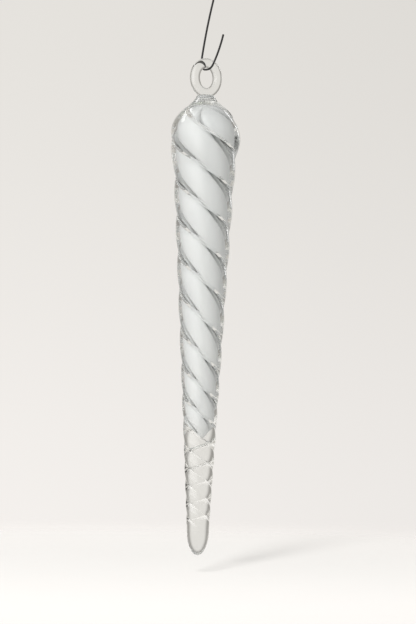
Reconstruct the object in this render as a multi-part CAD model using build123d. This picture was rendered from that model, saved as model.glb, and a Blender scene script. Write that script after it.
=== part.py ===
from build123d import *

# Hanging glass icicle: a clear, twisted casing over a white core, with a glass loop and a wire hook.
# Millimetres, +Z up. The origin is the point inside the hook's crook that bears on a branch.
# The glass loop lies in the XZ plane and the wire hook in the YZ plane.

import math
import os

# Overall sizes of the glass
GLASS_LENGTH = 180.0        # from the top of the loop to the tip
BODY_RADIUS = 12.9          # over the lobes at the widest place, the shoulder
TAPER_TOP_RADIUS = 11.9     # the straight taper's radius, carried up to the shoulder
TIP_RADIUS = 4.0            # where the twisted part ends and the plain tip begins
TIP_LENGTH = 9.0

# Loop, neck and shoulder
LOOP_TUBE_RADIUS = 1.85
LOOP_RADIUS = 5.35          # from the loop's centre to the middle of its tube
NECK_DROP = 6.1             # from the loop's centre down to the top of the neck
NECK_HEIGHT = 4.1
NECK_TOP_RADIUS = 3.4
NECK_TOP_ROUND = 0.8
NECK_WAIST_RADIUS = 4.1     # halfway down
SHOULDER_DROP = 22.2        # from the loop's centre down to the widest place
SHOULDER_HEIGHT = 13.8      # half height of the ellipse that rounds the shoulder
BULGE_LENGTH = 7.2          # how quickly the bulb at the shoulder runs into the taper

# Twisted lobes
LOBES = 3
CREASE_DEPTH = 0.08         # of the radius, from a lobe's crown to the crease beside it
CREASE_FADE_TOP = 6.0       # length over which the creases rise out of the neck
CREASE_FADE_TIP = 7.0       # and sink into the tip
FIRST_CREASE_ANGLE = -132.0
FIRST_CREASE_DROP = 18.9    # from the loop's centre down to the first crease at that polar angle
TURN_STEP = 30.0            # most degrees of twist from one section to the next
HEIGHT_STEP = 2.5           # most distance from one section to the next

# Core
CORE_SHARE = 0.57           # of the radius over the lobes
CORE_TOP_GAP = 3.0          # below the top of the body
CORE_TOP_ROUND = 8.0
CORE_LENGTH = 117.0
CORE_END_ROUND = 9.0
SEAM = 0.03                 # between neighbouring pieces of glass

# Wire hook: the lower bend holds the loop, and the crook hangs on a branch
WIRE_RADIUS = 0.36
LOOP_PLAY = 0.12            # between the wire and the loop that hangs on it
BEND_FLAT = 0.8             # the straight at the bottom of the lower bend, which the loop bears on
BACK_BEND_RADIUS = 2.35
SHANK_LEAN = 11.0           # degrees from upright where the shank leaves the lower bend
SHANK_BOW_RADIUS = 160.0
SHANK_BOW = 8.0             # degrees
CROOK_RADIUS = 7.0
CROOK_TURN = 195.0          # degrees
CROOK_END = 3.5
FRONT_BEND_RADIUS = 4.0
FRONT_BEND = 56.0           # degrees
FRONT_BOW_RADIUS = 45.0
FRONT_BOW = 15.0            # degrees
WIRE_CHAMFER = 0.12


def hook_line():
    """Edges of the wire's centreline from its upper end to its lower one, X forwards and Y up.

    They are placed from the bottom of the lower bend. The crook's centre stands right above it.
    """
    flat = Line((-BEND_FLAT / 2, 0), (BEND_FLAT / 2, 0))
    back_bend = JernArc(flat @ 0, (-1, 0), BACK_BEND_RADIUS, -(90 + SHANK_LEAN))
    bow = JernArc(back_bend @ 1, back_bend % 1, SHANK_BOW_RADIUS, -SHANK_BOW)
    direction = bow % 1
    straight_length = (CROOK_RADIUS * direction.Y - (bow @ 1).X) / direction.X
    straight = Line(bow @ 1, bow @ 1 + direction * straight_length)
    crook = JernArc(straight @ 1, direction, CROOK_RADIUS, CROOK_TURN)
    crook_end = Line(crook @ 1, crook @ 1 + (crook % 1) * CROOK_END)
    front_bend = JernArc(flat @ 1, (1, 0), FRONT_BEND_RADIUS, FRONT_BEND)
    front_bow = JernArc(front_bend @ 1, front_bend % 1, FRONT_BOW_RADIUS, FRONT_BOW)
    return [crook_end, crook, straight, bow, back_bend, flat, front_bend, front_bow]


HOOK_LINE = Wire([edge for part in hook_line() for edge in part.edges()])

# Heights, from the crook down
WIRE_BOTTOM_Z = WIRE_RADIUS - HOOK_LINE.bounding_box().max.Y      # centreline of the lower bend
LOOP_Z = WIRE_BOTTOM_Z + WIRE_RADIUS + LOOP_PLAY + LOOP_TUBE_RADIUS - LOOP_RADIUS
NECK_TOP_Z = LOOP_Z - NECK_DROP
BODY_TOP_Z = NECK_TOP_Z - NECK_HEIGHT
SHOULDER_Z = LOOP_Z - SHOULDER_DROP
TIP_Z = LOOP_Z + LOOP_RADIUS + LOOP_TUBE_RADIUS - GLASS_LENGTH
BODY_END_Z = TIP_Z + TIP_LENGTH
CORE_TOP_Z = BODY_TOP_Z - CORE_TOP_GAP
CORE_END_Z = CORE_TOP_Z - CORE_LENGTH

# Heights, each with the distance there from one crease down to the next
CREASE_SPACING = [
    (BODY_TOP_Z, 24.0),
    (LOOP_Z - 19.0, 13.6),
    (LOOP_Z - 93.0, 13.4),
    (LOOP_Z - 140.0, 6.4),
    (BODY_END_Z, 6.0),
]


def blend(share):
    """A smooth step from 0 to 1."""
    share = min(max(share, 0.0), 1.0)
    return share * share * (3 - 2 * share)


def body_radius(z):
    """Radius over the crowns of the lobes."""
    if z > SHOULDER_Z:
        return BODY_RADIUS * math.sqrt(1 - ((z - SHOULDER_Z) / SHOULDER_HEIGHT) ** 2)
    share = (z - BODY_END_Z) / (SHOULDER_Z - BODY_END_Z)
    taper = TIP_RADIUS + (TAPER_TOP_RADIUS - TIP_RADIUS) * share
    bulge = (BODY_RADIUS - TAPER_TOP_RADIUS) * math.exp(-(((SHOULDER_Z - z) / BULGE_LENGTH) ** 2))
    return taper + bulge


def crease_radius(z):
    """Radius at the bottom of a crease."""
    fade = blend((BODY_TOP_Z - z) / CREASE_FADE_TOP) * blend((z - BODY_END_Z) / CREASE_FADE_TIP)
    return body_radius(z) * (1 - CREASE_DEPTH * fade)


def core_radius(z):
    """Radius of the core, rounded at its top and drawn out at its end."""
    full = CORE_SHARE * body_radius(min(z, SHOULDER_Z))
    top = 1 - min((CORE_TOP_Z - z) / CORE_TOP_ROUND, 1.0)
    end = 1 - min((z - CORE_END_Z) / CORE_END_ROUND, 1.0)
    return full * math.sqrt((1 - top**2) * (1 - end**2))


def crease_spacing(z):
    """Distance from one crease to the next, on straight lines between the listed heights."""
    for (upper, wide), (lower, narrow) in zip(CREASE_SPACING, CREASE_SPACING[1:]):
        if z >= lower:
            return wide + (narrow - wide) * (upper - z) / (upper - lower)
    return CREASE_SPACING[-1][1]


def twist_sections():
    """Heights of the sections from the top down, each with the polar angle of a crease there."""
    step = 0.05
    steps = round((BODY_TOP_Z - BODY_END_Z) / step)
    first_crease_z = LOOP_Z - FIRST_CREASE_DROP
    sections = [(BODY_TOP_Z, 0.0)]
    twist = 0.0
    for i in range(1, steps + 1):
        z = BODY_TOP_Z - i * step
        twist += 360 / LOBES * step / crease_spacing(z + step / 2)
        if z >= first_crease_z:
            twist_at_first = twist
        if i == steps:
            sections.append((BODY_END_Z, twist))
        elif twist - sections[-1][1] >= TURN_STEP or sections[-1][0] - z >= HEIGHT_STEP:
            sections.append((z, twist))
    return [(z, FIRST_CREASE_ANGLE + twist - twist_at_first) for z, twist in sections]


def polar(radius, angle, z):
    """The point at that radius, polar angle in degrees and height."""
    return (radius * math.cos(math.radians(angle)), radius * math.sin(math.radians(angle)), z)


def lobed_section(z, crease_angle):
    """The casing's outline at that height: one arc for each lobe."""
    lobe = 360 / LOBES
    arcs = []
    for i in range(LOBES):
        start = crease_angle + i * lobe
        arcs.append(
            ThreePointArc(
                polar(crease_radius(z), start, z),
                polar(body_radius(z), start + lobe / 2, z),
                polar(crease_radius(z), start + lobe, z),
            )
        )
    return Face(Wire([arc.edge() for arc in arcs]))


def turned(edges):
    """A solid turned about Z from edges that enclose an outline in the XZ plane."""
    return revolve(Plane.XZ * make_face([edge for part in edges for edge in part.edges()]), Axis.Z)


def core_shape(extra):
    """The core's shape, larger by that much all round."""
    steps = 64
    middle = (CORE_TOP_Z + CORE_END_Z) / 2
    half = (CORE_TOP_Z - CORE_END_Z) / 2
    heights = [middle + half * math.cos(math.pi * i / steps) for i in range(1, steps)]
    points = [(core_radius(z) + extra, z) for z in heights]
    outline = Spline([(0, CORE_TOP_Z + extra)] + points + [(0, CORE_END_Z - extra)])
    return turned([outline, Line(outline @ 1, outline @ 0)])


def clear_casing():
    """The lobed and twisted body with its plain tip, hollow where the core fills it."""
    body = loft([lobed_section(z, angle) for z, angle in twist_sections()])
    centre = (0, BODY_END_Z)
    tip_arc = EllipticalCenterArc(centre, TIP_RADIUS, TIP_LENGTH, start_angle=-90, arc_size=90)
    tip = turned([tip_arc, Line(tip_arc @ 1, centre), Line(centre, tip_arc @ 0)])
    return body + tip - core_shape(SEAM)


def hanging_loop():
    """The glass loop, a closed ring that stands upright in the XZ plane."""
    return Pos(0, 0, LOOP_Z) * Rot(90, 0, 0) * Torus(LOOP_RADIUS, LOOP_TUBE_RADIUS)


def neck_gather():
    """The dab of glass that joins the loop to the body, with the loop's seat melted into its top."""
    base_z = BODY_TOP_Z + SEAM
    base_radius = body_radius(BODY_TOP_Z)
    top = Line((0, NECK_TOP_Z), (NECK_TOP_RADIUS - NECK_TOP_ROUND, NECK_TOP_Z))
    edge = JernArc(top @ 1, (1, 0), NECK_TOP_ROUND, -90)
    flare = ThreePointArc(
        edge @ 1,
        (NECK_WAIST_RADIUS, (NECK_TOP_Z + BODY_TOP_Z) / 2),
        (base_radius, base_z),
    )
    base = Polyline(flare @ 1, (0, base_z), top @ 0)
    seat = Pos(0, 0, LOOP_Z) * Rot(90, 0, 0) * Torus(LOOP_RADIUS, LOOP_TUBE_RADIUS + SEAM)
    return turned([top, edge, flare, base]) - seat


def wire_hook():
    """The steel wire, bent in the YZ plane with its lower point to the front."""
    plane = Plane(origin=(0, 0, WIRE_BOTTOM_Z), x_dir=(0, -1, 0), z_dir=(-1, 0, 0))
    path = plane * HOOK_LINE
    section = Plane(origin=path @ 0, z_dir=path % 0) * Circle(WIRE_RADIUS)
    wire = sweep(section, path=path)
    ends = wire.faces().filter_by(GeomType.PLANE)
    return chamfer(ends.edges(), WIRE_CHAMFER)


NODES = {
    "wire_hook": wire_hook,
    "hanging_loop": hanging_loop,
    "neck_gather": neck_gather,
    "clear_casing": clear_casing,
    "white_core": lambda: core_shape(0),
}

os.makedirs("parts", exist_ok=True)
for name, make in NODES.items():
    export_step(make(), f"parts/{name}.step")

print(f"wire's bottom {WIRE_BOTTOM_Z:.3f}, loop's centre {LOOP_Z:.3f}, tip {TIP_Z:.3f} mm")
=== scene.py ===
import math

import bpy
import numpy as np
from mathutils import Matrix, Vector


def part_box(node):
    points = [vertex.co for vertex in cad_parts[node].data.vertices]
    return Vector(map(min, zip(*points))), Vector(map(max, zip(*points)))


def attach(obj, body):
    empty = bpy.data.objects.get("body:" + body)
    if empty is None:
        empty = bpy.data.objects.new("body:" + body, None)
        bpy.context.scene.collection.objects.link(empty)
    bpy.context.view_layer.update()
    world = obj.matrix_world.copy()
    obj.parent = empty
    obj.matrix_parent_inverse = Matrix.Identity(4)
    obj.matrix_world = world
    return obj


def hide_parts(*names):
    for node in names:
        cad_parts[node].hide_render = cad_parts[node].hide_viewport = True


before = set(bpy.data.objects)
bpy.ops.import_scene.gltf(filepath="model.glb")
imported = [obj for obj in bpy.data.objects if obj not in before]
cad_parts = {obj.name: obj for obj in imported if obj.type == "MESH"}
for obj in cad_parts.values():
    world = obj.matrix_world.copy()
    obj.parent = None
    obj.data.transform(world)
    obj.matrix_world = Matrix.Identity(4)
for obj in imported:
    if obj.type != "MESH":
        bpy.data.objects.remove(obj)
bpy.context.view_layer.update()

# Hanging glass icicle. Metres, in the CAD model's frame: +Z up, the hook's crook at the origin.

MM = 0.001

# The CAD model's landmarks
LOOP_LOW, LOOP_HIGH = (Vector(corner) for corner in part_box("hanging_loop"))
NECK_LOW, NECK_HIGH = (Vector(corner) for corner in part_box("neck_gather"))
CASING_LOW, CASING_HIGH = (Vector(corner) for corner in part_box("clear_casing"))
LOOP_TUBE = (LOOP_HIGH.y - LOOP_LOW.y) / 2
LOOP_RADIUS = (LOOP_HIGH.x - LOOP_LOW.x) / 2 - LOOP_TUBE
LOOP_Z = (LOOP_HIGH.z + LOOP_LOW.z) / 2
NECK_BASE_RADIUS = (NECK_HIGH.x - NECK_LOW.x) / 2
BODY_TOP_Z = CASING_HIGH.z
TIP_Z = CASING_LOW.z

# The casing's shape, as the CAD model has it
LOBES = 3
BODY_RADIUS = 12.9 * MM
TAPER_TOP_RADIUS = 11.9 * MM
TIP_RADIUS = 4.0 * MM
BODY_END_Z = TIP_Z + 9.0 * MM
SHOULDER_Z = LOOP_Z - 22.2 * MM
SHOULDER_HEIGHT = 13.8 * MM
BULGE_LENGTH = 7.2 * MM
CREASE_DEPTH = 0.08           # of the radius
CREASE_FADE_TOP = 6.0 * MM
CREASE_FADE_TIP = 7.0 * MM
FIRST_CREASE_ANGLE = -132.0   # degrees
FIRST_CREASE_Z = LOOP_Z - 18.9 * MM
CREASE_SPACING = [            # heights, and the distance from crease to crease there
    (BODY_TOP_Z, 24.0 * MM),
    (LOOP_Z - 19.0 * MM, 13.6 * MM),
    (LOOP_Z - 93.0 * MM, 13.4 * MM),
    (LOOP_Z - 140.0 * MM, 6.4 * MM),
    (BODY_END_Z, 6.0 * MM),
]

# The casing's finer shape. A narrow cleft stands below each crease.
CREASE_TIP_DEPTH = 0.065      # of the radius, near the tip
CREASE_ROUND = 0.32 * MM      # half width of the rounding at the bottom of a crease
ROUNDING_RADIUS = 3.0 * MM    # where the body is thinner, the rounding narrows with it
CLEFT_SHARE = 0.36            # depth of a cleft, as a share of the radius
CLEFT_TIP_SHARE = 0.015       # the same near the tip
CLEFT_WIDTH = 0.50 * MM
CLEFT_END_Z = LOOP_Z - 150.0 * MM
CLEFT_FADE = 40.0 * MM
LEAST_RADIUS = 0.02 * MM      # where a solid closes to a point
NO_CREASE = 1e-6              # a depth too small to draw
COLUMNS = 240                 # around, which follow the twist
BODY_ROWS = 560
TIP_ROWS = 40
TABLE_STEPS = 4000            # down the body, to add up the twist
CREASE_CROWDING = 0.90        # how much closer the columns stand beside a crease

# The white core
CORE_SHARE = 0.62             # of the radius over the casing's lobes
CORE_CREASE_DEPTH = 0.20
CORE_CREASE_ROUND = 0.05      # radians
CORE_CLEFT_SHARE = 0.45
CORE_CLEFT_WIDTH = 1.1 * MM
CORE_TOP_Z = BODY_TOP_Z - 3.0 * MM
CORE_TOP_ROUND = 8.0 * MM
CORE_END_Z = CORE_TOP_Z - 117.0 * MM
CORE_END_ROUND = 9.0 * MM
CORE_ROWS = 500

# The loop and the neck
LOOP_AROUND = 160
LOOP_ACROSS = 64
LOOP_THINNING = 0.03          # of the tube, from its middle size to its thickest and thinnest
LOOP_RIPPLE = 0.005
NECK_COLUMNS = 96
NECK_FLARE_ROWS = 24
NECK_FLARE_CURVE = 1.35       # the higher, the later the flare opens
# The rounded top of the neck: radii in millimetres and shares of its height
NECK_TOP = [(0.5, 1.0), (1.4, 1.0), (2.2, 0.99), (2.8, 0.96), (3.2, 0.90), (3.4, 0.82)]

# Where the glass has melted together and its skins are hidden
MELT_DEPTH = 0.1 * MM         # how far inside the neck's side the loop's skin stops
MELT_HAIR = 0.001 * MM
MELT_LOOP_SHARE = 0.98        # of the loop's tube, inside which the neck's skin stops

# Camera and stage
VIEW_AZIMUTH = -42.0          # degrees, 0 looks along +Y
VIEW_DISTANCE = 1.1           # metres
VIEW_HEIGHT = 0.2259          # metres seen from bottom to top, at the ornament
VIEW_CENTRE_DROP = 84.7 * MM  # from the loop's centre to the middle of the view
VIEW_CENTRE_ASIDE = 2.25 * MM
VIEW_ROLL = 1.03              # degrees
FLOOR_GAP = 6.5 * MM          # below the tip
FLOOR_RADIUS = 0.9
FLOOR_CROWDING = 1.5          # the higher, the closer the rings stand near the middle
FLOOR_FADE_START = 0.05
FLOOR_FADE_END = 0.30
BOUNCES = 32                  # light is mirrored many times inside the glass


def blend(share):
    """A smooth step from 0 to 1."""
    share = min(max(share, 0.0), 1.0)
    return share * share * (3 - 2 * share)


# ---------------------------------------------------------------- the casing's shape


def body_radius(z):
    """Radius over the crowns of the lobes."""
    if z > SHOULDER_Z:
        return BODY_RADIUS * math.sqrt(1 - ((z - SHOULDER_Z) / SHOULDER_HEIGHT) ** 2)
    if z < BODY_END_Z:
        return TIP_RADIUS * math.sqrt(max(1 - ((BODY_END_Z - z) / (BODY_END_Z - TIP_Z)) ** 2, 0))
    share = (z - BODY_END_Z) / (SHOULDER_Z - BODY_END_Z)
    taper = TIP_RADIUS + (TAPER_TOP_RADIUS - TIP_RADIUS) * share
    bulge = (BODY_RADIUS - TAPER_TOP_RADIUS) * math.exp(-(((SHOULDER_Z - z) / BULGE_LENGTH) ** 2))
    return taper + bulge


def crease_share(z):
    """Depth of the creases there, as a share of the radius."""
    fade = blend((BODY_TOP_Z - z) / CREASE_FADE_TOP) * blend((z - BODY_END_Z) / CREASE_FADE_TIP)
    lower = blend((z - CLEFT_END_Z) / CLEFT_FADE)
    return (CREASE_TIP_DEPTH + (CREASE_DEPTH - CREASE_TIP_DEPTH) * lower) * fade


def crease_spacing(z):
    """Distance from one crease to the next, on straight lines between the listed heights."""
    for (upper, wide), (lower, narrow) in zip(CREASE_SPACING, CREASE_SPACING[1:]):
        if z >= lower:
            return wide + (narrow - wide) * (upper - z) / (upper - lower)
    return CREASE_SPACING[-1][1]


def crease_angle_table():
    """Heights from the top down and the polar angle of one crease there, in radians."""
    heights = np.linspace(BODY_TOP_Z, TIP_Z, TABLE_STEPS + 1)
    middles = (heights[:-1] + heights[1:]) / 2
    steps = [2 * math.pi / LOBES * (heights[0] - heights[1]) / crease_spacing(z) for z in middles]
    twist = np.concatenate([[0.0], np.cumsum(steps)])
    at_first = np.interp(-FIRST_CREASE_Z, -heights, twist)
    return heights, math.radians(FIRST_CREASE_ANGLE) + twist - at_first


def lobe_radius(angle, crown, depth, rounding):
    """Radius at an angle from the nearest crease, on the arc that a lobe's section is.

    The bottom of the crease is rounded with a parabola that reaches as far as rounding, an angle.
    """
    if depth < NO_CREASE:
        return crown
    half = math.pi / LOBES
    x, y = (1 - depth) * math.cos(half), (1 - depth) * math.sin(half)
    centre = (1 - x * x - y * y) / (2 * (1 - x))

    def on_arc(a):
        from_crown = half - a
        return centre * math.cos(from_crown) + math.sqrt(
            (1 - centre) ** 2 - (centre * math.sin(from_crown)) ** 2
        )

    if angle >= rounding:
        return crown * on_arc(angle)
    step = 1e-4
    slope = (on_arc(rounding + step) - on_arc(rounding)) / step
    return crown * (on_arc(rounding) - slope * (rounding**2 - angle**2) / (2 * rounding))


# ---------------------------------------------------------------- mesh helpers


def mesh_object(name, vertices, faces):
    """A smooth-shaded object of that mesh, linked into the scene."""
    mesh = bpy.data.meshes.new(name)
    mesh.from_pydata([tuple(v) for v in vertices], [], faces)
    mesh.polygons.foreach_set("use_smooth", [True] * len(mesh.polygons))
    mesh.update()
    obj = bpy.data.objects.new(name, mesh)
    bpy.context.scene.collection.objects.link(obj)
    return obj


def ring_faces(rows, columns, closed_rows=False):
    """Quads between rows of vertices that each go all the way round."""
    last = rows if closed_rows else rows - 1
    faces = []
    for i in range(last):
        for j in range(columns):
            a = i * columns + j
            b = i * columns + (j + 1) % columns
            up = (i + 1) % rows * columns
            faces.append((a, b, up + (j + 1) % columns, up + j))
    return faces


def add_point_vectors(obj, name, values):
    """Stores one vector for each vertex, for the material to read."""
    layer = obj.data.attributes.new(name, "FLOAT_VECTOR", "POINT")
    layer.data.foreach_set("vector", np.asarray(values, dtype=np.float32).ravel())


# ---------------------------------------------------------------- the glass


def twisted_solid(name, heights, section, columns):
    """A closed solid of lobes that twist together down the axis.

    section gives the radius at a height and at an angle from the nearest crease.
    """
    table_z, table_angle = crease_angle_table()
    per_lobe = columns // LOBES
    lobe = 2 * math.pi / LOBES
    vertices, untwisted = [], []
    for z in heights:
        start = float(np.interp(-z, -table_z, table_angle))
        for j in range(columns):
            t = (j % per_lobe) / per_lobe
            t -= CREASE_CROWDING * math.sin(2 * math.pi * t) / (2 * math.pi)
            radius = section(z, min(t, 1 - t) * lobe)
            angle = (j // per_lobe + t) * lobe
            vertices.append((radius * math.cos(start + angle), radius * math.sin(start + angle), z))
            untwisted.append((radius * math.cos(angle), radius * math.sin(angle), z))
    faces = ring_faces(len(heights), columns)
    first, last = len(vertices), (len(heights) - 1) * columns
    ends = [(0, 0, heights[0]), (0, 0, heights[-1])]
    faces += [(first, (j + 1) % columns, j) for j in range(columns)]
    faces += [(first + 1, last + j, last + (j + 1) % columns) for j in range(columns)]
    solid = mesh_object(name, vertices + ends, [tuple(reversed(f)) for f in faces])
    add_point_vectors(solid, "untwisted", untwisted + ends)
    return solid


def casing_section(z, angle):
    """Radius of the casing: the lobes, less a narrow cleft below each crease."""
    crown = max(body_radius(z), LEAST_RADIUS)
    share = crease_share(z)
    fade = blend((z - CLEFT_END_Z) / CLEFT_FADE)
    deepest = (CLEFT_TIP_SHARE + (CLEFT_SHARE - CLEFT_TIP_SHARE) * fade) * share / CREASE_DEPTH
    cleft = deepest * math.exp(-((angle * crown / CLEFT_WIDTH) ** 2))
    return lobe_radius(angle, crown, share, CREASE_ROUND / max(crown, ROUNDING_RADIUS)) - cleft * crown


def make_casing():
    """The lobed and twisted casing, with its rounded tip."""
    body = [float(z) for z in np.linspace(BODY_TOP_Z, BODY_END_Z, BODY_ROWS)]
    quarter = [math.sin(math.pi / 2 * i / TIP_ROWS) for i in range(1, TIP_ROWS)]
    tip = [BODY_END_Z - (BODY_END_Z - TIP_Z) * share for share in quarter] + [TIP_Z]
    return twisted_solid("twisted_casing", body + tip, casing_section, COLUMNS)


def core_radius(z):
    """Radius over the core's lobes, rounded at both ends."""
    full = CORE_SHARE * body_radius(min(z, SHOULDER_Z))
    top = 1 - min((CORE_TOP_Z - z) / CORE_TOP_ROUND, 1.0)
    end = 1 - min((z - CORE_END_Z) / CORE_END_ROUND, 1.0)
    return max(full * math.sqrt((1 - top**2) * (1 - end**2)), LEAST_RADIUS)


def core_section(z, angle):
    """Radius of the core: lobes like the casing's, with a wider cleft between them."""
    crown = core_radius(z)
    width = CORE_CLEFT_WIDTH * body_radius(z) / BODY_RADIUS
    cleft = CORE_CLEFT_SHARE * math.exp(-((angle * crown / width) ** 2))
    return crown * (lobe_radius(angle, 1.0, CORE_CREASE_DEPTH, CORE_CREASE_ROUND) - cleft)


def make_core():
    """The white core, which twists with the casing."""
    middle, half = (CORE_TOP_Z + CORE_END_Z) / 2, (CORE_TOP_Z - CORE_END_Z) / 2
    heights = [middle + half * math.cos(math.pi * i / CORE_ROWS) for i in range(CORE_ROWS + 1)]
    return twisted_solid("twisted_core", heights, core_section, COLUMNS)


def make_loop():
    """The glass loop, a hand-drawn ring, a little thinner on one side than on the other."""
    middle = 1 - LOOP_THINNING - LOOP_RIPPLE
    vertices = []
    for i in range(LOOP_AROUND):
        a = 2 * math.pi * i / LOOP_AROUND
        tube = LOOP_TUBE * (middle - LOOP_THINNING * math.cos(a) + LOOP_RIPPLE * math.sin(3 * a))
        centre = LOOP_RADIUS + (LOOP_TUBE - tube)
        for j in range(LOOP_ACROSS):
            b = 2 * math.pi * j / LOOP_ACROSS
            radius = centre + tube * math.cos(b)
            vertices.append((radius * math.cos(a), tube * math.sin(b), LOOP_Z + radius * math.sin(a)))
    return mesh_object("glass_loop", vertices, ring_faces(LOOP_AROUND, LOOP_ACROSS, closed_rows=True))


def make_neck():
    """The flared dab of glass between the loop and the body."""
    columns = NECK_COLUMNS
    height = NECK_HIGH.z - BODY_TOP_Z
    outline = [(r * MM, BODY_TOP_Z + h * height) for r, h in NECK_TOP]
    narrow, flare_top = outline[-1]
    for i in range(1, NECK_FLARE_ROWS + 1):
        share = i / NECK_FLARE_ROWS
        radius = narrow + (NECK_BASE_RADIUS - narrow) * share**NECK_FLARE_CURVE
        outline.append((radius, BODY_TOP_Z + (flare_top - BODY_TOP_Z) * (1 - share)))
    vertices = [(0, 0, NECK_HIGH.z), (0, 0, BODY_TOP_Z)]
    for radius, z in outline:
        for j in range(columns):
            a = 2 * math.pi * j / columns
            vertices.append((radius * math.cos(a), radius * math.sin(a), z))
    faces = [tuple(v + 2 for v in f) for f in ring_faces(len(outline), columns)]
    last = 2 + (len(outline) - 1) * columns
    faces += [(0, 2 + (j + 1) % columns, 2 + j) for j in range(columns)]
    faces += [(1, last + j, last + (j + 1) % columns) for j in range(columns)]
    faces = [tuple(reversed(f)) for f in faces]
    return mesh_object("glass_neck", vertices, faces)


def inside_loop(point):
    """True inside the loop's ring."""
    from_axis = math.hypot(point.x, point.z - LOOP_Z) - LOOP_RADIUS
    return math.hypot(from_axis, point.y) < LOOP_TUBE * MELT_LOOP_SHARE


def inside_neck(point):
    """True inside the neck's top."""
    side = NECK_TOP[-1][0] * MM - MELT_DEPTH
    return point.z < NECK_HIGH.z and math.hypot(point.x, point.y) < side


def melt(obj, is_inside):
    """Gives the faces that lie inside the neighbouring glass the second material, the melted joint."""
    for polygon in obj.data.polygons:
        if is_inside(polygon.center):
            polygon.material_index = 1


# ---------------------------------------------------------------- materials


def new_material(name):
    """A node material and its node tree, with only an output."""
    material = bpy.data.materials.new(name)
    material.use_nodes = True
    tree = material.node_tree
    tree.nodes.clear()
    output = tree.nodes.new("ShaderNodeOutputMaterial")
    return material, tree, output


def let_light_through(tree, output, surface):
    """Light on its way to the core or the floor passes straight through; a lamp's loses a share."""
    path = tree.nodes.new("ShaderNodeLightPath")
    for kind, share in (("Is Diffuse Ray", 1.0), ("Is Shadow Ray", 0.72)):
        passing = tree.nodes.new("ShaderNodeBsdfTransparent")
        passing.inputs["Color"].default_value = (share, share, share, 1)
        mix = tree.nodes.new("ShaderNodeMixShader")
        tree.links.new(path.outputs[kind], mix.inputs["Fac"])
        tree.links.new(surface, mix.inputs[1])
        tree.links.new(passing.outputs["BSDF"], mix.inputs[2])
        surface = mix.outputs["Shader"]
    tree.links.new(surface, output.inputs["Surface"])


def clear_glass(name, coordinates, streak_scale):
    """Clear glass with faint drawing streaks in its surface."""
    material, tree, output = new_material(name)
    shader = tree.nodes.new("ShaderNodeBsdfPrincipled")
    shader.inputs["Base Color"].default_value = (0.985, 0.99, 0.98, 1)
    shader.inputs["Roughness"].default_value = 0.0
    shader.inputs["IOR"].default_value = 1.5
    shader.inputs["Transmission Weight"].default_value = 1.0
    if coordinates == "untwisted":
        source = tree.nodes.new("ShaderNodeAttribute")
        source.attribute_name = "untwisted"
        vector = source.outputs["Vector"]
    else:
        source = tree.nodes.new("ShaderNodeTexCoord")
        vector = source.outputs["Object"]
    mapping = tree.nodes.new("ShaderNodeMapping")
    mapping.inputs["Scale"].default_value = streak_scale
    tree.links.new(vector, mapping.inputs["Vector"])
    streaks = tree.nodes.new("ShaderNodeTexNoise")
    streaks.inputs["Scale"].default_value = 1.0
    streaks.inputs["Detail"].default_value = 2.0
    streaks.inputs["Roughness"].default_value = 0.55
    tree.links.new(mapping.outputs["Vector"], streaks.inputs["Vector"])
    bump = tree.nodes.new("ShaderNodeBump")
    bump.inputs["Strength"].default_value = 1.0
    bump.inputs["Distance"].default_value = 0.01 * MM
    tree.links.new(streaks.outputs["Fac"], bump.inputs["Height"])
    tree.links.new(bump.outputs["Normal"], shader.inputs["Normal"])
    let_light_through(tree, output, shader.outputs["BSDF"])
    return material


def melted_joint():
    """Where two masses of glass have run together there is nothing to see."""
    material, tree, output = new_material("melted_joint")
    passing = tree.nodes.new("ShaderNodeBsdfTransparent")
    tree.links.new(passing.outputs["BSDF"], output.inputs["Surface"])
    return material


def white_glass():
    """Opaque white glass, very slightly uneven."""
    material, tree, output = new_material("white_glass")
    shader = tree.nodes.new("ShaderNodeBsdfPrincipled")
    coordinates = tree.nodes.new("ShaderNodeTexCoord")
    mapping = tree.nodes.new("ShaderNodeMapping")
    mapping.inputs["Scale"].default_value = (220, 220, 60)
    clouds = tree.nodes.new("ShaderNodeTexNoise")
    clouds.inputs["Scale"].default_value = 1.0
    clouds.inputs["Detail"].default_value = 3.0
    ramp = tree.nodes.new("ShaderNodeValToRGB")
    ramp.color_ramp.elements[0].position = 0.3
    ramp.color_ramp.elements[0].color = (0.54, 0.55, 0.545, 1)
    ramp.color_ramp.elements[1].position = 0.7
    ramp.color_ramp.elements[1].color = (0.585, 0.595, 0.585, 1)
    tree.links.new(coordinates.outputs["Object"], mapping.inputs["Vector"])
    tree.links.new(mapping.outputs["Vector"], clouds.inputs["Vector"])
    tree.links.new(clouds.outputs["Fac"], ramp.inputs["Fac"])
    tree.links.new(ramp.outputs["Color"], shader.inputs["Base Color"])
    shader.inputs["Roughness"].default_value = 0.9
    shader.inputs["Specular IOR Level"].default_value = 0.0
    tree.links.new(shader.outputs["BSDF"], output.inputs["Surface"])
    return material


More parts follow.
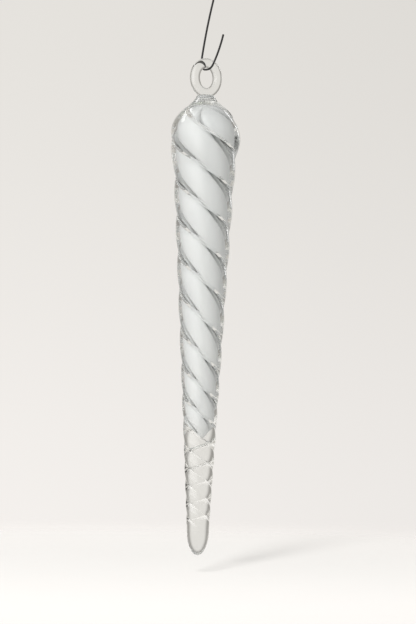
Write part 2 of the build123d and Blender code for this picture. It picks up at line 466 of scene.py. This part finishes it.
def black_wire():
    """Black coated steel wire, with fine drawing marks and a little wear."""
    material, tree, output = new_material("black_wire")
    shader = tree.nodes.new("ShaderNodeBsdfPrincipled")
    shader.inputs["Specular IOR Level"].default_value = 0.3
    coordinates = tree.nodes.new("ShaderNodeTexCoord")
    mottle = tree.nodes.new("ShaderNodeTexNoise")
    mottle.inputs["Scale"].default_value = 900.0
    mottle.inputs["Detail"].default_value = 4.0
    ramp = tree.nodes.new("ShaderNodeValToRGB")
    ramp.color_ramp.elements[0].position = 0.35
    ramp.color_ramp.elements[0].color = (0.004, 0.004, 0.0045, 1)
    ramp.color_ramp.elements[1].position = 0.8
    ramp.color_ramp.elements[1].color = (0.014, 0.0135, 0.013, 1)
    rough = tree.nodes.new("ShaderNodeMapRange")
    rough.inputs["To Min"].default_value = 0.32
    rough.inputs["To Max"].default_value = 0.5
    bump = tree.nodes.new("ShaderNodeBump")
    bump.inputs["Distance"].default_value = 0.01 * MM
    tree.links.new(coordinates.outputs["Object"], mottle.inputs["Vector"])
    tree.links.new(mottle.outputs["Fac"], ramp.inputs["Fac"])
    tree.links.new(mottle.outputs["Fac"], rough.inputs["Value"])
    tree.links.new(mottle.outputs["Fac"], bump.inputs["Height"])
    tree.links.new(ramp.outputs["Color"], shader.inputs["Base Color"])
    tree.links.new(rough.outputs["Result"], shader.inputs["Roughness"])
    tree.links.new(bump.outputs["Normal"], shader.inputs["Normal"])
    tree.links.new(shader.outputs["BSDF"], output.inputs["Surface"])
    return material


def use_materials(obj, *materials):
    """Puts those materials in the object's slots."""
    obj.data.materials.clear()
    for material in materials:
        obj.data.materials.append(material)


# ---------------------------------------------------------------- camera, stage and light

AZIMUTH = math.radians(VIEW_AZIMUTH)
TO_CAMERA = Vector((math.sin(AZIMUTH), -math.cos(AZIMUTH), 0))
RIGHT = Vector((math.cos(AZIMUTH), math.sin(AZIMUTH), 0))
UP = Vector((0, 0, 1))


def make_camera():
    """A level camera with a long lens, rolled a little as the hanging glass leans in its view."""
    data = bpy.data.cameras.new("camera")
    data.sensor_fit = "VERTICAL"
    data.sensor_height = 36.0
    data.lens = data.sensor_height * VIEW_DISTANCE / VIEW_HEIGHT
    data.clip_start = 0.01
    camera = bpy.data.objects.new("camera", data)
    bpy.context.scene.collection.objects.link(camera)
    roll = math.radians(VIEW_ROLL)
    camera_right = RIGHT * math.cos(roll) + UP * math.sin(roll)
    camera_up = UP * math.cos(roll) - RIGHT * math.sin(roll)
    target = UP * (LOOP_Z - VIEW_CENTRE_DROP) + RIGHT * VIEW_CENTRE_ASIDE
    turn = Matrix((camera_right, camera_up, TO_CAMERA)).transposed()
    camera.matrix_world = Matrix.Translation(target + TO_CAMERA * VIEW_DISTANCE) @ turn.to_4x4()
    bpy.context.scene.camera = camera


def make_floor():
    """A pale floor just under the tip that fades into the pale surroundings further out."""
    rings, columns = 24, 64
    vertices = [(0, 0, TIP_Z - FLOOR_GAP)]
    for i in range(1, rings + 1):
        for j in range(columns):
            a = 2 * math.pi * j / columns
            r = FLOOR_RADIUS * (i / rings) ** FLOOR_CROWDING
            vertices.append((r * math.cos(a), r * math.sin(a), TIP_Z - FLOOR_GAP))
    faces = [(0, 1 + j, 1 + (j + 1) % columns) for j in range(columns)]
    faces += [tuple(v + 1 for v in reversed(f)) for f in ring_faces(rings, columns)]
    floor = mesh_object("floor", vertices, faces)
    material, tree, output = new_material("floor")
    plaster = tree.nodes.new("ShaderNodeBsdfDiffuse")
    plaster.inputs["Color"].default_value = (0.80, 0.783, 0.76, 1)
    clear = tree.nodes.new("ShaderNodeBsdfTransparent")
    coordinates = tree.nodes.new("ShaderNodeTexCoord")
    length = tree.nodes.new("ShaderNodeVectorMath")
    length.operation = "LENGTH"
    flatten = tree.nodes.new("ShaderNodeVectorMath")
    flatten.operation = "MULTIPLY"
    flatten.inputs[1].default_value = (1, 1, 0)
    fade = tree.nodes.new("ShaderNodeMapRange")
    fade.interpolation_type = "SMOOTHSTEP"
    fade.inputs["From Min"].default_value = FLOOR_FADE_START
    fade.inputs["From Max"].default_value = FLOOR_FADE_END
    mix = tree.nodes.new("ShaderNodeMixShader")
    tree.links.new(coordinates.outputs["Object"], flatten.inputs[0])
    tree.links.new(flatten.outputs["Vector"], length.inputs[0])
    tree.links.new(length.outputs["Value"], fade.inputs["Value"])
    tree.links.new(fade.outputs["Result"], mix.inputs["Fac"])
    tree.links.new(plaster.outputs["BSDF"], mix.inputs[1])
    tree.links.new(clear.outputs["BSDF"], mix.inputs[2])
    tree.links.new(mix.outputs["Shader"], output.inputs["Surface"])
    use_materials(floor, material)


def towards(azimuth, elevation):
    """A direction from the ornament, at that azimuth to the camera's right and elevation."""
    a, e = math.radians(azimuth), math.radians(elevation)
    return (TO_CAMERA * math.cos(a) + RIGHT * math.sin(a)) * math.cos(e) + UP * math.sin(e)


def make_surroundings():
    """Pale surroundings for the camera and a studio for the glass to show and mirror."""
    world = bpy.data.worlds.new("studio")
    bpy.context.scene.world = world
    world.use_nodes = True
    tree = world.node_tree
    tree.nodes.clear()
    output = tree.nodes.new("ShaderNodeOutputWorld")
    coordinates = tree.nodes.new("ShaderNodeTexCoord")

    def along(direction):
        """How far a direction points that way, from -1 to 1."""
        dot = tree.nodes.new("ShaderNodeVectorMath")
        dot.operation = "DOT_PRODUCT"
        dot.inputs[1].default_value = direction
        tree.links.new(coordinates.outputs["Generated"], dot.inputs[0])
        return dot.outputs["Value"]

    def ramp(value, low, high, stops):
        """Colours along a value that runs from low to high."""
        spread = tree.nodes.new("ShaderNodeMapRange")
        spread.inputs["From Min"].default_value = low
        spread.inputs["From Max"].default_value = high
        colours = tree.nodes.new("ShaderNodeValToRGB")
        colours.color_ramp.interpolation = "EASE"
        while len(colours.color_ramp.elements) < len(stops):
            colours.color_ramp.elements.new(0.5)
        for element, (position, colour) in zip(colours.color_ramp.elements, stops):
            element.position = position
            element.color = (*colour, 1)
        tree.links.new(value, spread.inputs["Value"])
        tree.links.new(spread.outputs["Result"], colours.inputs["Fac"])
        return colours.outputs["Color"]

    def mixed(factor, first, second, how="MIX"):
        """One colour over another, by a factor that is a number or a socket."""
        node = tree.nodes.new("ShaderNodeMix")
        node.data_type = "RGBA"
        node.blend_type = how
        if isinstance(factor, float):
            node.inputs["Factor"].default_value = factor
        else:
            tree.links.new(factor, node.inputs["Factor"])
        tree.links.new(first, node.inputs["A"])
        if isinstance(second, tuple):
            node.inputs["B"].default_value = second
        else:
            tree.links.new(second, node.inputs["B"])
        return node.outputs["Result"]

    path = tree.nodes.new("ShaderNodeLightPath")

    # What the camera sees: paler low down, and a little darker to the right
    upright = ramp(along(UP), -0.12, 0.12, [(0.0, (0.925, 0.893, 0.865)), (1.0, (0.785, 0.762, 0.724))])
    across = ramp(along(RIGHT), -0.08, 0.08, [(0.0, (1.0, 1.0, 1.0)), (1.0, (0.94, 0.94, 0.94))])
    backdrop = mixed(1.0, upright, across, "MULTIPLY")

    # What the glass shows: bright straight behind, dim beside that. It also mirrors a soft box on the left.
    studio = ramp(
        along(-TO_CAMERA), -1.0, 1.0,
        [(0.0, (0.62, 0.595, 0.555)), (0.45, (0.55, 0.525, 0.485)), (0.86, (0.30, 0.288, 0.27)),
         (0.965, (0.75, 0.73, 0.695))],
    )
    soft_box = ramp(along(towards(-56, 10)), 0.3, 1.0, [(0.0, (0, 0, 0)), (1.0, (2.6, 2.6, 2.6))])
    glass_view = mixed(path.outputs["Is Transmission Ray"], mixed(1.0, studio, soft_box, "ADD"), studio)

    # What lights the floor and the white core
    lit = mixed(path.outputs["Is Diffuse Ray"], glass_view, (0.74, 0.74, 0.735, 1))

    background = tree.nodes.new("ShaderNodeBackground")
    tree.links.new(mixed(path.outputs["Is Camera Ray"], lit, backdrop), background.inputs["Color"])
    tree.links.new(background.outputs["Background"], output.inputs["Surface"])


def make_lamp(name, azimuth, elevation, distance, size, radiance, diffuse=True, glossy=True):
    """A rectangular lamp that faces the ornament, with its angles in degrees and its sizes in metres."""
    data = bpy.data.lights.new(name, "AREA")
    data.shape = "RECTANGLE"
    data.size, data.size_y = size
    data.energy = radiance * math.pi * size[0] * size[1]
    lamp = bpy.data.objects.new(name, data)
    bpy.context.scene.collection.objects.link(lamp)
    middle = UP * (LOOP_Z - VIEW_CENTRE_DROP)
    outwards = towards(azimuth, elevation)
    lamp.location = middle + outwards * distance
    lamp.rotation_euler = outwards.to_track_quat("Z", "Y").to_euler()
    lamp.visible_camera = False
    lamp.visible_diffuse = diffuse
    lamp.visible_glossy = glossy
    lamp.visible_transmission = False


def make_lights():
    """Rims behind both shoulders of the glass, and light from above and in front for its shadow."""
    make_lamp("right_rim", 142, 22, 1.0, (0.12, 0.7), 3.5, diffuse=False)
    make_lamp("left_rim", -118, 50, 1.0, (0.5, 0.25), 4.0, diffuse=False)
    make_lamp("key", -17, 40, 1.0, (0.11, 0.11), 105.0, glossy=False)
    make_lamp("front", -10, 25, 1.3, (1.6, 1.6), 0.7, glossy=False)


# ---------------------------------------------------------------- the model

bpy.context.scene.view_settings.view_transform = "Standard"
cycles = bpy.context.scene.cycles
cycles.max_bounces = BOUNCES
cycles.transmission_bounces = BOUNCES
cycles.glossy_bounces = BOUNCES

make_camera()
make_floor()
make_surroundings()
make_lights()

streaked = clear_glass("casing_glass", "untwisted", (1100, 1100, 90))
plain = clear_glass("loop_glass", "object", (260, 260, 260))
joint = melted_joint()

casing = make_casing()
use_materials(casing, streaked, joint)
melt(casing, lambda p: p.z > BODY_TOP_Z - MELT_HAIR)
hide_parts("clear_casing")

loop = make_loop()
use_materials(loop, plain, joint)
melt(loop, inside_neck)
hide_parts("hanging_loop")

neck = make_neck()
use_materials(neck, plain, joint)
melt(neck, lambda p: inside_loop(p) or p.z < BODY_TOP_Z + MELT_HAIR)
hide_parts("neck_gather")

for piece in (casing, loop, neck):
    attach(piece, "icicle")

core = make_core()
use_materials(core, white_glass())
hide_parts("white_core")
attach(core, "icicle")

use_materials(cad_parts["wire_hook"], black_wire())
